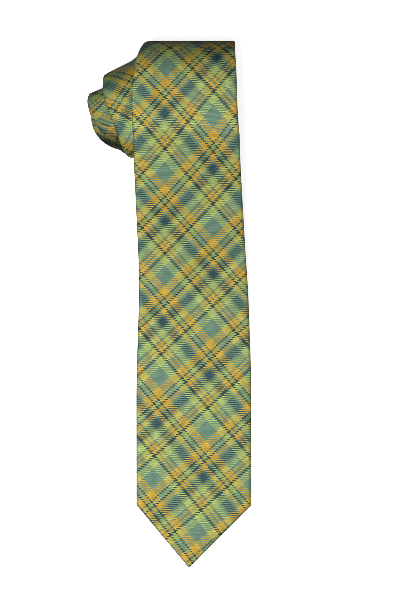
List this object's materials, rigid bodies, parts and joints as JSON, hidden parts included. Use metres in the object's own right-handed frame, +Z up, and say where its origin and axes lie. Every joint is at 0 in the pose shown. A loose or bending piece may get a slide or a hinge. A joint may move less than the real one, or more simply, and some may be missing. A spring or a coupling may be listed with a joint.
{
  "type": "necktie",
  "caption": "Plaid woven necktie lying blade up, with a pointed free blade and its narrow end wound into a loose roll; the blade lifts, folds and curls.",
  "frame": {"origin": "middle of the box's footprint, on the table the tie lies on", "axes": "+Y runs from the blade's point to the roll, +X across the blade, +Z up off the table"},
  "size_m": [0.1138, 0.3661, 0.0435],
  "materials": {
    "cloth": "2/2 twill plaid, soft sheen",
    "interlining": "brushed wool",
    "satin_lining": "satin",
    "thread": "twisted polyester thread",
    "label_dark": "woven damask, blank",
    "label_light": "printed satin, blank"
  },
  "bodies": {
    "roll": {"blade_shell_roll": "cloth", "interlining_blade": "interlining", "seam_thread_roll": "thread", "join_thread_blade_neck": "thread", "neck_shell": "cloth", "join_thread_neck_tail": "thread", "tail_shell": "cloth", "interlining_tail": "interlining", "tail_tipping": "satin_lining", "bar_tack_tail": "thread"},
    "blade_upper": {"blade_shell_upper": "cloth", "interlining_upper": "interlining", "seam_thread_upper": "thread", "care_label": "label_light"},
    "blade_mid": {"blade_shell_mid": "cloth", "interlining_mid": "interlining", "tipping_mid": "satin_lining", "seam_thread_mid": "thread", "bar_tack_blade": "thread", "keeper_loop": "cloth", "keeper_label": "label_dark", "keeper_tack_left": "thread", "keeper_tack_right": "thread"},
    "blade_point": {"blade_shell_tip": "cloth", "interlining_tip": "interlining", "tipping_tip": "satin_lining"}
  },
  "joints": [
    {"name": "blade_lift", "type": "hinge", "parent": "roll", "child": "blade_upper", "pos_m": [0.012, 0.10713, 0.0377], "axis": [-1, 0, 0], "range_deg": [0, 50]},
    {"name": "blade_fold", "type": "hinge", "parent": "blade_upper", "child": "blade_mid", "pos_m": [0.0165, -0.00674, 0.00756], "axis": [-1, 0, 0], "range_deg": [0, 60]},
    {"name": "point_curl", "type": "hinge", "parent": "blade_mid", "child": "blade_point", "pos_m": [0.01695, -0.088, 0.0017], "axis": [-1, 0, 0], "range_deg": [0, 60]}
  ]
}
